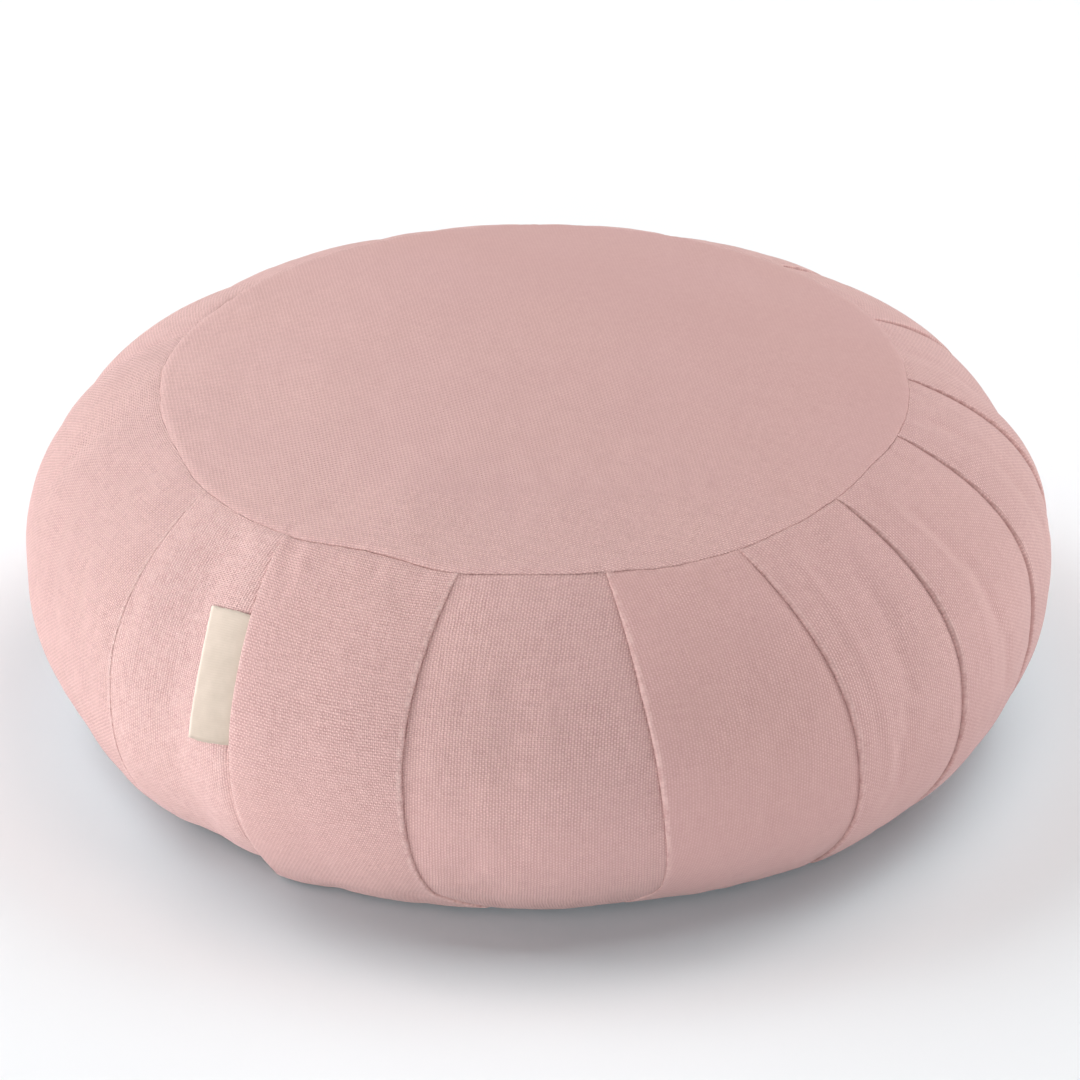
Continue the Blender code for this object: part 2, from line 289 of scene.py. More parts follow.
# %% Creases and dents
Crease = namedtuple("Crease", "panel across down to_across to_down depth width")
CREASES = (
    Crease(0, 0.30, 0.16, 0.66, 0.03, 0.35, 4),
    Crease(0, 0.30, 0.28, 0.50, 0.46, 0.35, 4),
    Crease(0, 0.62, 0.28, 0.80, 0.46, 0.35, 4),
    Crease(0, 1.00, 0.40, 1.00, 0.85, -0.8, 9),
    Crease(1, 0.00, 0.40, 0.00, 0.85, -0.8, 9),
    Crease(1, 0.07, 0.05, 0.06, 0.62, 0.35, 3.2),
    Crease(1, 0.97, 0.80, 1.00, 0.92, 2.4, 13),
    Crease(2, 0.10, 0.02, 0.16, 0.14, 0.35, 2.5),
    Crease(2, 0.17, 0.01, 0.22, 0.11, -0.35, 2.5),
    Crease(2, 0.04, 0.00, 0.96, 0.00, 0.35, 1.8),
    Crease(2, 0.03, 0.84, 0.10, 0.92, -1.2, 12),
    Crease(3, 0.04, 0.20, 0.04, 0.60, 0.35, 5),
    Crease(3, 0.45, 0.10, 0.42, 0.70, 0.15, 3),
    Crease(3, 0.62, 0.05, 0.60, 0.60, -0.15, 3),
    Crease(3, 0.95, 0.40, 0.95, 0.50, 0.9, 4),
    Crease(4, 0.48, 0.42, 0.40, 0.66, -0.2, 2.5),
    Crease(4, 0.55, 0.42, 0.47, 0.66, 0.2, 2.5),
    Crease(5, 0.20, 0.07, 0.15, 0.32, 0.4, 2.2),
    Crease(5, 0.15, 0.28, 0.16, 0.60, 0.4, 2.2),
    Crease(5, 0.28, 0.06, 0.23, 0.32, -0.35, 2.2),
    Crease(5, 0.23, 0.28, 0.25, 0.58, -0.35, 2.2),
    Crease(5, 0.60, 0.12, 0.50, 0.40, 0.6, 5),
    Crease(5, 0.50, 0.36, 0.31, 0.62, 0.5, 5),
    Crease(6, 0.24, 0.05, 0.28, 0.26, -0.35, 2.5),
    Crease(6, 0.28, 0.22, 0.29, 0.58, -0.35, 2.5),
    Crease(6, 0.36, 0.15, 0.41, 0.38, 0.45, 3.5),
    Crease(6, 0.41, 0.34, 0.50, 0.56, 0.45, 3.5),
    Crease(7, 0.42, 0.05, 0.46, 0.60, 0.6, 6),
    Crease(8, 0.45, 0.05, 0.40, 0.50, 0.5, 6),
)
CREASE_FADE = 0.08
print(len(CREASES), "creases and dents")


def crease_depth(panel, across, down, width):
    """Sum of this panel's soft grooves, in metres."""
    total = np.zeros_like(across)
    wide, long = np.mean(width), SIDE_LENGTH
    for crease in CREASES:
        if crease.panel != panel:
            continue
        run = np.array([crease.to_across - crease.across, crease.to_down - crease.down])
        run = run * np.array([wide, long])
        beside_start, below_start = (across - crease.across) * wide, (down - crease.down) * long
        along = np.clip((beside_start * run[0] + below_start * run[1]) / (run @ run), 0, 1)
        away = np.hypot(beside_start - along * run[0], below_start - along * run[1])
        away = away / (crease.width * MM)
        fade = np.sin(np.pi * np.clip(along, CREASE_FADE, 1 - CREASE_FADE)) ** 0.5
        total += crease.depth * MM * np.exp(-(away**2)) * fade
    return total


# %% Where cloth lies, for any distances from a panel's folds
SEAM_DIP, FOOT_DIP, DIP_REACH = 0.55 * MM, 0.6 * MM, 4.5 * MM
LEAST_HEIGHT = 0.9 * MM


def panel_span(panel, down):
    """A panel's first angle and its width, both in degrees, and its width in metres."""
    left, right = neighbours(panel)
    start = pleat_angle(left, down)
    width_deg = (pleat_angle(right, down) - start) % 360
    return start, width_deg, np.interp(SIDE_LENGTH * down, LINE[0], LINE[1]) * np.radians(width_deg)


def lay(panel, x, down, extra=0.0):
    """Points and surface normals of a panel's cloth, pushed in by extra."""
    left, right = neighbours(panel)
    start, width_deg, width = panel_span(panel, down)
    across = np.clip(x / width, 0, 1)
    seam = MM * wander(left.seam_out, left.panel_out, right.seam_out, across)
    distance = seam + (SIDE_LENGTH - seam) * down
    radius, height, out, up = section(distance)
    depth = beside(left, left.over > 0, x, width, down)
    depth = depth + beside(right, right.over < 0, width - x, width, down)
    depth = depth - MM * wander(left.swell, left.panel_swell, right.swell, across) * fullness(down)
    depth = depth + crease_depth(panel, across, down, width) + extra
    depth = depth + SEAM_DIP * np.clip(1 - (distance - seam) / DIP_REACH, 0, 1) ** 2
    depth = depth + FOOT_DIP * np.clip(1 - (SIDE_LENGTH - distance) / DIP_REACH, 0, 1) ** 2
    angle = np.radians(start + width_deg * x / width)
    radius, height = radius - depth * out, height - depth * up
    height = np.maximum(height, LEAST_HEIGHT)
    sine, cosine = np.sin(angle), -np.cos(angle)
    points = np.stack([radius * sine, radius * cosine, height], axis=-1)
    normals = np.stack([out * sine, out * cosine, up + 0 * angle], axis=-1)
    return points, normals, across, distance


def panel_width(panel, down):
    """Width of the open panel between its two folds, in metres."""
    return panel_span(panel, down)[2]


print(f"the tag's panel is {panel_width(TAG_PLEAT - 1, 0.5) / MM:.0f} mm wide on the belly")

# %% [markdown]
# ## Let the filling push
#
# The lay-out above is even, as drawn shapes are. Real canvas is cut a little larger than
# the space it fills and pushed out by the filling, so it goes into slack, shallow ripples
# that start at the seams. A cloth simulation finds them: a coarse copy of the open panels
# is held along its seams and folds, made a little too large, and blown up for twenty frames
# with no gravity. Only a share of how far each point moved is kept.

# %% Blow up a coarse copy of the panels
PRESSURE, SLACK, FRAMES = 4.0, 0.015, 20
COARSE_ROWS, COARSE_COLUMNS = 44, 13
KEPT_SHARE, MOST_MOVE = 0.3, 1.0 * MM


def new_object(name, data):
    """An object with this mesh, light or camera, linked into the scene."""
    made = bpy.data.objects.new(name, data)
    bpy.context.scene.collection.objects.link(made)
    return made


def ring_faces(rows, count):
    """Four-cornered faces between closed rings of points, ring after ring."""
    faces = []
    for r in range(rows - 1):
        a, b = r * count, (r + 1) * count
        for k in range(count):
            after = (k + 1) % count
            faces.append((a + k, b + k, b + after, a + after))
    return faces


def simulate():
    """How far the filling moves each coarse point along its normal: panels, rows, columns."""
    down = np.linspace(0, 1, COARSE_ROWS)[:, None]
    shares = np.linspace(0, 1, COARSE_COLUMNS)[:-1]
    laid = [lay(p, panel_width(p, down) * shares, down) for p in range(len(PLEATS))]
    start = np.concatenate([part[0] for part in laid], axis=1)
    normals = np.concatenate([part[1] for part in laid], axis=1)
    count = start.shape[1]
    data = bpy.data.meshes.new("blown")
    data.from_pydata(start.reshape(-1, 3).tolist(), [], ring_faces(COARSE_ROWS, count))
    piece = new_object("blown", data)
    held = piece.vertex_groups.new(name="held")
    index = np.arange(len(data.vertices)).reshape(COARSE_ROWS, count)
    fixed = set(index[[0, -1]].ravel()) | set(index[:, ::COARSE_COLUMNS - 1].ravel())
    held.add([int(i) for i in fixed], 1.0, "REPLACE")
    cloth = piece.modifiers.new("filling", "CLOTH").settings
    cloth.vertex_group_mass = "held"
    cloth.quality, cloth.mass, cloth.air_damping = 6, 0.3, 2
    cloth.tension_stiffness = cloth.compression_stiffness = 20
    cloth.shear_stiffness, cloth.bending_stiffness = 8, 0.6
    cloth.shrink_min = -SLACK
    cloth.use_pressure, cloth.uniform_pressure_force = True, PRESSURE
    cloth.effector_weights.gravity = 0
    scene = bpy.context.scene
    for step in range(1, FRAMES + 1):
        scene.frame_set(step)
    shape = piece.evaluated_get(bpy.context.evaluated_depsgraph_get()).to_mesh()
    end = np.empty(len(data.vertices) * 3)
    shape.vertices.foreach_get("co", end)
    moved = np.sum((end.reshape(start.shape) - start) * normals, axis=-1)
    scene.frame_set(1)
    bpy.data.objects.remove(piece)
    moved = moved.reshape(COARSE_ROWS, len(PLEATS), COARSE_COLUMNS - 1).transpose(1, 0, 2)
    print(f"filling moved the cloth {moved.min() / MM:.1f} to {moved.max() / MM:.1f} mm")
    return moved


swollen = simulate()
swollen = np.clip(KEPT_SHARE * (swollen - swollen.mean(axis=(0, 1))), -MOST_MOVE, MOST_MOVE)


def swell_at(panel, across, down):
    """The simulated move at places on a panel, between the coarse points."""
    # The cloth is held at both folds, so it moves nowhere in the first and last columns.
    table = np.concatenate([swollen[panel], np.zeros((COARSE_ROWS, 1))], axis=1)
    table[:, 0] = 0
    column = across * (COARSE_COLUMNS - 1)
    row = np.broadcast_to(down, across.shape) * (COARSE_ROWS - 1)
    left = np.minimum(column.astype(int), COARSE_COLUMNS - 2)
    top = np.minimum(row.astype(int), COARSE_ROWS - 2)
    to_right, to_foot = ease(0, 1, column - left), ease(0, 1, row - top)
    upper = table[top, left] * (1 - to_right) + table[top, left + 1] * to_right
    lower = table[top + 1, left] * (1 - to_right) + table[top + 1, left + 1] * to_right
    return upper * (1 - to_foot) + lower * to_foot


# %% [markdown]
# ## The pleated band
#
# Every panel gets the same kinds of column, so the band is one grid that closes on itself.
# The distance along the cloth goes into a UV map in metres, turned to each panel's grain:
# weave drawn on it keeps its real size and is cut off by a fold exactly as real cloth is.
# One panel was cut with its threads turned a quarter round, which is why its rows run level
# while its neighbours' run down.

# %% Columns at one edge of a panel
LIP_TURNS, LIP_SQUARE = np.linspace(np.pi, 0, 11), 0.75
UNDERLAP, TUCKED, HIDDEN_GAP, FIRST_COLUMN = 5 * MM, (1.0, 0.6, 0.3), 0.1 * MM, 0.8 * MM
FRAYED, FRAY_SIZE, LESS_RUBBED_AND_LIT = 0.12 * MM, 3 * MM, 0.3


def squared(value):
    """A sine or cosine, pushed outward so that its circle turns a little square."""
    return math.copysign(abs(value) ** LIP_SQUARE, value)


def fold_edge(pleat, is_over, down):
    """Distance from the fold, extra depth, and rub and painted highlight of the columns at one edge,
    outermost first.
    """
    fold, lip, none = fold_of(pleat), lip_radius(pleat, down), 0 * down
    if not is_over:
        room = lip * fold.sunk + HIDDEN_GAP
        tucked = [(none - UNDERLAP * t, room, none) for t in TUCKED]
        return tucked + [(none, none, none), (none + FIRST_COLUMN, none, none)]
    columns = [(none + UNDERLAP * t, 2 * lip, none) for t in TUCKED]
    place = np.stack([down, none, none + PLEATS.index(pleat)], axis=-1) * SIDE_LENGTH
    frayed = FRAYED * rough(place, FRAY_SIZE, 9)
    for turn in LIP_TURNS:
        near, deep = 1 - squared(math.sin(turn)), 1 - squared(math.cos(turn))
        # The lip is rubbed and given a painted highlight where it stands out, less beside that and hardly
        # at all below.
        rub_and_lit = none + fold.rubbed * (1 - near * LESS_RUBBED_AND_LIT - max(0, deep - 1))
        columns.append((lip * near + frayed * (1 - near), lip * deep, rub_and_lit))
    return columns


# %% The grain of the cloth
# How far each panel's threads are turned, in degrees, and how far the two sets are off square.
THREAD_TURNS = (3, 2, 90, 6, 6, 4, 2, 1, 3, 5, 2, 4, 3, 2, 5, 3)
SKEW = -6.0


def grain(x, y, turn_deg):
    """Distances across the two sets of threads, for distances across and down the cloth."""
    warp, weft = math.radians(turn_deg), math.radians(turn_deg + 90 + SKEW)
    across_warp = x * math.cos(warp) + y * math.sin(warp)
    across_weft = x * math.cos(weft) + y * math.sin(weft)
    return np.stack([across_warp, across_weft], axis=-1)


# %% One whole panel
# Columns lie closest together beside a fold, where the cloth bends most, and the panels that
# the camera sees have more of them.
EDGE = np.array([2.2, 3.2, 4.6, 6.6, 9.0]) * MM
SEEN_PANELS, SEEN_COLUMNS, OTHER_COLUMNS = range(9), 32, 16
# How strongly the weave stands out on each panel, from the first round to the last. It sets the bump and
# how deep the painted shade in the pits is, and it is highest on the panels that face the light from the
# left, so the painted shade partly follows the light.
RELIEF = (2.3, 2.1, 1.6, 1.65, 0.75, 1.0, 0.9, 1.1, 1.0, 1.0, 1.1, 1.0, 1.1, 1.3, 1.7, 2.1)
# Toward the floor the cloth is pulled tighter, which flattens the weave by this share.
FLATTER_LOW, FLATTER_START, FLATTER_REACH = 0.45, 0.35, 0.4
# The panel with the tag is painted a little paler all over, and its weave is a little flatter.
PALER_ALL_OVER = {1: 0.4}


def panel_grid(panel, down):
    """Points, thread distances, rub and painted highlight, and weave relief of one panel, as rows by
    columns.
    """
    left, right = neighbours(panel)
    width = panel_width(panel, down)
    none = 0 * width
    columns = fold_edge(left, left.over > 0, down)
    columns += [(none + x, none, none) for x in EDGE]
    open_width = width - 2 * EDGE[-1]
    count = SEEN_COLUMNS if panel in SEEN_PANELS else OTHER_COLUMNS
    between = np.linspace(0, 1, count + 2)[1:-1]
    columns += [(EDGE[-1] + open_width * s, none, none) for s in between]
    columns += [(width - x, none, none) for x in EDGE[::-1]]
    last_edge = reversed(fold_edge(right, right.over < 0, down))
    columns += [(width - x, deep, rub_and_lit) for x, deep, rub_and_lit in last_edge]
    x, extra, rub_and_lit = (np.array(part).T for part in zip(*columns))
    points, normals, across, distance = lay(panel, x, down[:, None], extra)
    points += normals * swell_at(panel, across, down[:, None])[..., None]
    # The panel with the tag is painted paler all over.
    rub_and_lit = rub_and_lit + PALER_ALL_OVER.get(panel, 0)
    relief = RELIEF[panel] * (1 - ease(0, FLATTER_LOW, (down - FLATTER_START) / FLATTER_REACH))
    relief = np.broadcast_to(relief[:, None], x.shape)
    return points, grain(x - width[:, None] / 2, distance, THREAD_TURNS[panel]), rub_and_lit, relief


# %% Rows of the band, closest together at the seams
NEAR_SEAM = np.array([0, 0.5, 1.0, 1.6, 2.3, 3.1, 4.0, 5.2, 6.6, 8.2]) * MM
KEPT_AT_FOOT = [0, 2, 4, 6, 8, 9]
ROWS_BETWEEN = 84


def band_rows():
    """Shares of the way down. The lower seam is hardly seen and keeps only some of its rows."""
    near = NEAR_SEAM / SIDE_LENGTH
    between = np.linspace(near[-1], 1 - near[-1], ROWS_BETWEEN)[1:-1]
    return np.concatenate([near, between, (1 - near[::-1])[KEPT_AT_FOOT]])


rows = band_rows()
grids = [panel_grid(p, rows) for p in range(len(PLEATS))]
joined = [np.concatenate(parts, axis=1) for parts in zip(*grids)]
band_points, band_cloth, band_rub_and_highlight, band_relief = joined
print("band grid:", band_points.shape[0], "rows by", band_points.shape[1], "columns")

# %% [markdown]
# Seen close, no seam is a clean line. The needle pulls the cloth in at every stitch and
# lets it rise between, so both edges of the upper seam share a fine, uneven wobble.

# %% The uneven seam
# The seam sways over a few stitches and is uneven at every stitch. Only the rows beside it
# are pulled along, and the band's top rows get a painted highlight.
SEAM_UNEVEN, SEAM_SWAY, STITCH, HALF_STITCH = 0.28 * MM, 9 * MM, 3.4 * MM, 1.7 * MM
PULLED_ROWS, SEAM_HIGHLIGHT_ROWS, SEAM_HIGHLIGHT = 9, 4, 0.25


def pull_seam(points, strength):
    """Moves points near the upper seam in and out by fine noise along it."""
    angle = np.arctan2(points[..., 0], -points[..., 1])
    ring = np.stack([np.cos(angle), np.sin(angle), 0 * angle], axis=-1) * SEAM_RADIUS
    wobble = rough(ring, SEAM_SWAY, 1) + 0.6 * rough(ring, STITCH, 2)
    lift = rough(ring, STITCH, 5) + 0.5 * rough(ring, HALF_STITCH, 6)
    outward = np.stack([np.sin(angle), -np.cos(angle)], axis=-1)
    moved = points.copy()
    moved[..., :2] += outward * (SEAM_UNEVEN * strength * wobble)[..., None]
    moved[..., 2] += SEAM_UNEVEN * strength * lift
    return moved


before = band_points[0].copy()
for row in range(PULLED_ROWS):
    band_points[row] = pull_seam(band_points[row], (1 - row / PULLED_ROWS) ** 2)
# Painted highlight on the band's top rows, beside the seam.
for row in range(SEAM_HIGHLIGHT_ROWS):
    band_rub_and_highlight[row] = np.maximum(band_rub_and_highlight[row], SEAM_HIGHLIGHT * (1 - row / SEAM_HIGHLIGHT_ROWS))
most_pulled = np.abs(band_points[0] - before).max()
print(f"the needle pulls the seam up to {most_pulled / MM:.1f} mm")


# %% Meshes from rings of points
def ring_mesh(name, rings, cloth, marks, pole_first=None, pole_last=None):
    """A mesh over closed rings of points, with thread distances as a UV map."""
    count = rings.shape[1]
    points = rings.reshape(-1, 3).tolist()
    flat = cloth.reshape(-1, 2).tolist()
    faces = ring_faces(len(rings), count)
    for pole, base in ((pole_first, 0), (pole_last, (len(rings) - 1) * count)):
        if pole is not None:
            points.append(pole)
            flat.append((0, 0))
            tip = len(points) - 1
            fan = [(tip, base + k, base + (k + 1) % count) for k in range(count)]
            faces += fan if base == 0 else [face[::-1] for face in fan]
    return cloth_mesh(name, points, faces, flat, marks)


def cloth_mesh(name, points, faces, flat, marks):
    """A smooth mesh whose marks, such as rub and painted highlight, are one number at each point."""
    data = bpy.data.meshes.new(name)
    data.from_pydata(points, [], faces)
    corners = np.empty(len(data.loops), dtype=np.int32)
    data.loops.foreach_get("vertex_index", corners)
    uv = data.uv_layers.new(name="cloth")
    uv.data.foreach_set("uv", np.asarray(flat, dtype=np.float32)[corners].ravel())
    for mark, values in marks.items():
        # A pole has no mark of its own, so it takes the first point's.
        values = np.append(values.ravel(), [values.flat[0]] * (len(points) - values.size))
        attribute = data.attributes.new(mark, "FLOAT", "POINT")
        attribute.data.foreach_set("value", values.astype(np.float32))
    data.shade_smooth()
    print(name, len(data.polygons), "faces")
    return new_object(name, data)


# %% [markdown]
# The band also closes over the filling: above it goes in under the round panel, and below
# it turns up inside the lower seam. None of that shows, so it is a plain seat.

# %% The band itself
# Each ring of the seat: its share of the seam's radius, and how far it is sunk, in millimetres.
SEAT_RINGS = ((0.4, 2.6), (0.8, 2.6), (0.965, 2.3), (0.985, 1.8), (0.997, 0.85))
SEAT_RISE, SEAT_TOP = 12 * MM, 0.1436
TURNED_IN, INSIDE_FOOT = 0.995, 2.4 * MM
upper, lower = band_points[0], band_points[-1]
seat = []
for share, sunk in SEAT_RINGS:
    ring = upper * [share, share, 0]
    ring[:, 2] = upper[:, 2] + SEAT_RISE * (1 - share**2) - sunk * MM
    seat.append(ring)
floor_ring = lower * [TURNED_IN, TURNED_IN, 0] + [0, 0, INSIDE_FOOT]
band_rings = np.concatenate([seat, band_points, [floor_ring]])


def carried_on(values):
    """The band's values, with its end rows' carried on over the hidden rings."""
    return np.concatenate([values[:1]] * len(seat) + [values, values[-1:]])


marks = {"rub_and_highlight": carried_on(band_rub_and_highlight), "relief": carried_on(band_relief)}
marks["rub_and_highlight"][:len(seat)] = 0
marks["rub_and_highlight"][-1] = 0
band = ring_mesh("band", band_rings, carried_on(band_cloth), marks, (0, 0, SEAT_TOP), (0, 0, INSIDE_FOOT))

# %% [markdown]
# ## The round panels
#
# The upper panel is a disc of the same canvas, domed by the filling and pulled down round
# its edge into the seam. Its rim follows the seam as it wanders. The lower one is flat.

# %% The seam that the upper panel ends in
DISC_COLUMNS = 42


def seam_ring():
    """The upper seam's points, without the folds that end at it."""
    ring = []
    for panel in range(len(PLEATS)):
        left, right = neighbours(panel)
        across = np.arange(DISC_COLUMNS) / DISC_COLUMNS
        width_deg = (right.seam_deg - left.seam_deg) % 360
        seam = MM * wander(left.seam_out, left.panel_out, right.seam_out, across)
        radius, height, out, up = section(seam)
        angle = np.radians(left.seam_deg + width_deg * across)
        radius, height = radius - SEAM_DIP * out, height - SEAM_DIP * up
        ring.append(np.stack([radius * np.sin(angle), -radius * np.cos(angle), height], axis=1))
    return np.concatenate(ring)


rim = seam_ring()
print(len(rim), "points round the upper seam")

# %% Upper panel
CROWN_TOP = 0.1462
RIM_GAP = 0.05 * MM
# Its rings, as shares of the way out from the middle, lie closest together at the rim.
INNER, OUTER, RIM = np.linspace(0.04, 0.9, 36), np.linspace(0.91, 0.97, 10), np.linspace(0.974, 1, 12)
DISC_RINGS = np.concatenate([INNER, OUTER, RIM])
ROLL_START, ROLL_REACH, ROLL_POWER = 0.976, 0.024, 2.2
WIDE_LUMP, SMALL_LUMP, CALM_RIM = 40 * MM, 14 * MM, 10
# Every fold puckers the panel a little where it ends, and the tag's fold more than the others.
PUCKER, PUCKERS, PUCKER_DEG, PUCKER_REACH = 0.1 * MM, {TAG_PLEAT: 0.5 * MM}, 0.7, 7 * MM
PULL_START, PULL_REACH = 0.93, 0.07


def disc_rings(rim):
    """The domed panel: it rolls down into the seam, is slightly lumpy, and puckers at the folds."""
    rings = []
    shoulder = rim[:, 2] + SEAM_DIP
    for share in DISC_RINGS:
        ring = rim * [share, share, 0] * (1 - RIM_GAP / SEAM_RADIUS)
        roll = max(0, (share - ROLL_START) / ROLL_REACH) ** ROLL_POWER
        ring[:, 2] = shoulder + (CROWN_TOP - shoulder) * (1 - share**2) - SEAM_DIP * roll
        rings.append(ring)
    rings = np.array(rings)
    calm = np.minimum(1, (1 - DISC_RINGS) * CALM_RIM)[:, None]
    flat = rings * [1, 1, 0]
    lumps = 0.5 * rough(flat, WIDE_LUMP, 3) + 0.2 * rough(flat, SMALL_LUMP, 4)
    rings[..., 2] += MM * calm * lumps
    angle = np.degrees(np.arctan2(rim[:, 0], -rim[:, 1]))
    for pleat in PLEATS:
        off = (angle - pleat.seam_deg + 180) % 360 - 180
        pucker = PUCKERS.get(PLEATS.index(pleat), PUCKER) * np.exp(-((off / PUCKER_DEG) ** 2))
        rings[..., 2] -= pucker * np.exp(-(((1 - DISC_RINGS) * SEAM_RADIUS / PUCKER_REACH) ** 2))[:, None]
    for k, share in enumerate(DISC_RINGS):
        if share > PULL_START:
            rings[k] = pull_seam(rings[k], ((share - PULL_START) / PULL_REACH) ** 2)
    return rings


crown_rings = disc_rings(rim)
print(f"the dome rises {(crown_rings[0, 0, 2] - rim[0, 2]) / MM:.0f} mm above its seam")

# %% Its grain, its relief and its thickness
CLOTH = 0.8 * MM
DISC_TURN = 67
# The weave stands out most toward the front left, where the light grazes it, and is pressed flat toward
# the back right, so its relief, and with it the painted shade in its pits, changes by so much for each
# metre.
RELIEF_IN_MIDDLE, RELIEF_TO_LEFT, RELIEF_TO_FRONT, RELIEF_LIMITS = 1.05, 5.5, 7.0, (0.35, 2.0)


def thicken(piece, thickness, offset):
    """Gives a sheet its thickness: inward at offset -1, outward at 1, half each way at 0."""
    layer = piece.modifiers.new("cloth", "SOLIDIFY")
    layer.thickness, layer.offset = thickness, offset


crown_x, crown_y = crown_rings[..., 0], crown_rings[..., 1]
crown_relief = RELIEF_IN_MIDDLE - RELIEF_TO_LEFT * crown_x - RELIEF_TO_FRONT * crown_y
crown_marks = {"relief": np.clip(crown_relief, *RELIEF_LIMITS)}
crown = ring_mesh("crown", crown_rings, grain(crown_x, crown_y, DISC_TURN), crown_marks, (0, 0, CROWN_TOP))
thicken(crown, CLOTH, -1)

# %% Lower panel
BASE_COLUMNS, BASE_TURN = 240, 20
# Radius and height of each ring: flat, with its edge turned up into the lower seam.
BASE_RINGS = ((0.10, 0), (FOOT_RADIUS - 1.6 * MM, 0), (FOOT_RADIUS - 0.6 * MM, 0.4 * MM))
turns = np.linspace(0, 2 * np.pi, BASE_COLUMNS, endpoint=False)
circle = np.stack([np.sin(turns), -np.cos(turns), 0 * turns], axis=1)
base_rings = np.array([circle * radius + [0, 0, height] for radius, height in BASE_RINGS])
base_cloth = grain(base_rings[..., 0], base_rings[..., 1], BASE_TURN)
base_marks = {"relief": np.ones(base_rings.shape[:2])}
base = ring_mesh("base", base_rings, base_cloth, base_marks, (0, 0, 0))
thicken(base, CLOTH, 1)

# %% [markdown]
# ## The tag
#
# A short length of cream ribbon is folded in two, and its cut ends are caught in a pleat.
# Only its folded edge stands free. It is left bare. A strip that follows the cloth at every
# point would look painted on, so the ribbon is bent in one smooth sweep over the hollow
# beside the fold instead.

# %% The ribbon's section, from one cut end round the fold to the other
TAG_PANEL = TAG_PLEAT - 1
TAG_WIDTH, TAG_TUCKED = 19.8 * MM, 4 * MM
TAG_LAYER, TAG_LIFT, TAG_THICK = 0.35 * MM, 0.2 * MM, 0.4 * MM
FLAT_POINTS, FOLD_POINTS = 18, 7


def ribbon_section():
    """Distances in from the pleat and heights above the cloth, round the folded ribbon."""
    turn = np.linspace(-np.pi / 2, np.pi / 2, FOLD_POINTS)
    straight = TAG_WIDTH - TAG_LAYER
    flat = np.linspace(-TAG_TUCKED, straight, FLAT_POINTS)
    inward = np.concatenate([flat, straight + TAG_LAYER * np.cos(turn), flat[::-1]])
    rise = [0 * flat, TAG_LAYER + TAG_LAYER * np.sin(turn), 0 * flat + 2 * TAG_LAYER]
    return inward, TAG_LIFT + np.concatenate(rise)


inward, lift = ribbon_section()
run = np.append(0, np.cumsum(np.hypot(np.diff(inward), np.diff(lift))))

# %% Tag
TAG_STEPS = 28
TAG_BRIDGE, TAG_BOW, TAG_SPLAY, SPLAY_START = 14 * MM, 1.7 * MM, 1.8 * MM, 0.3
TAG_FRAY, TAG_FRAY_SIZE, FRAY_POWER = 0.3 * MM, 1.3 * MM, 20


def lifted(reach, down):
    """Points of the ribbon's section, at a reach in from the fold and standing off the cloth."""
    points, normals, _, _ = lay(TAG_PANEL, panel_width(TAG_PANEL, down) - reach, down)
    return points + normals * np.broadcast_to(lift, down.shape)[..., None]


def tag_points():
    """The ribbon's points, one section for each step along the fold."""
    steps = np.linspace(0, 1, TAG_STEPS)[:, None]
    share = np.clip(inward / TAG_WIDTH, 0, 1)
    fray_place = np.stack([inward, 0 * inward, 0 * inward], axis=1)
    fray = TAG_FRAY * rough(fray_place, TAG_FRAY_SIZE, 8)
    slant = ease(*TAG_SLANTS, steps) * share
    along = TAG_FROM_SEAM + TAG_LENGTH * steps + slant + fray * np.abs(2 * steps - 1) ** FRAY_POWER
    down = along / SIDE_LENGTH
    # The fold's edge bows, but a ribbon is straight, so it reaches in by more or less.
    bow = TAG_SPLAY * (steps - SPLAY_START) - TAG_BOW * 4 * steps * (1 - steps)
    reach = inward + bow * share
    over = np.clip(reach / TAG_BRIDGE, 0, 1)[..., None]
    bent = lifted(np.minimum(reach, 0), down) * (1 - over) ** 2
    bent = bent + lifted(0 * reach + TAG_BRIDGE / 2, down) * 2 * over * (1 - over)
    bent = bent + lifted(0 * reach + TAG_BRIDGE, down) * over**2
    return np.where(over < 1, bent, lifted(reach, down)), steps


def tag_piece():
    """The ribbon as a mesh, with a painted highlight along its folded edge."""
    points, steps = tag_points()
    shape, count = points.shape[:2], len(inward)
    faces = []
    for r in range(TAG_STEPS - 1):
        a, b = r * count, (r + 1) * count
        faces += [(a + k, a + k + 1, b + k + 1, b + k) for k in range(count - 1)]
    flat = [np.broadcast_to(run, shape), np.broadcast_to(TAG_LENGTH * steps, shape)]
    # Painted highlight: a mark that is strongest at the folded edge.
    lit_edge = np.broadcast_to(np.exp(-(((inward - TAG_WIDTH) / MM) ** 2)), shape)
    flat = np.stack(flat, axis=-1).reshape(-1, 2)
    return cloth_mesh("ribbon", points.reshape(-1, 3).tolist(), faces, flat, {"rub_and_highlight": lit_edge})


ribbon = tag_piece()
thicken(ribbon, TAG_THICK, 0)

# %% [markdown]
# ## Canvas
#
# Heavy cotton canvas is a plain weave: every thread goes over one and under the next. The
# threads are dyed before weaving or in the piece. The pits between them are painted darker as
# shade, and the tops paler where hands rub them and as painted light. Two sine waves give the
# whole weave. Each wave is a set of round threads, and their product says which set is on top.
#
# A material is easier to read when it is built from small parts, so one function adds any
# node with its settings and links, and the weave and its dye have a function each.

# %% Colours and nodes
def linear(hex_colour):
    """An sRGB hex colour as linear red, green, blue and alpha."""
    parts = [int(hex_colour[i:i + 2], 16) / 255 for i in (1, 3, 5)]
    return (*[p / 12.92 if p <= 0.04045 else ((p + 0.055) / 1.055) ** 2.4 for p in parts], 1)


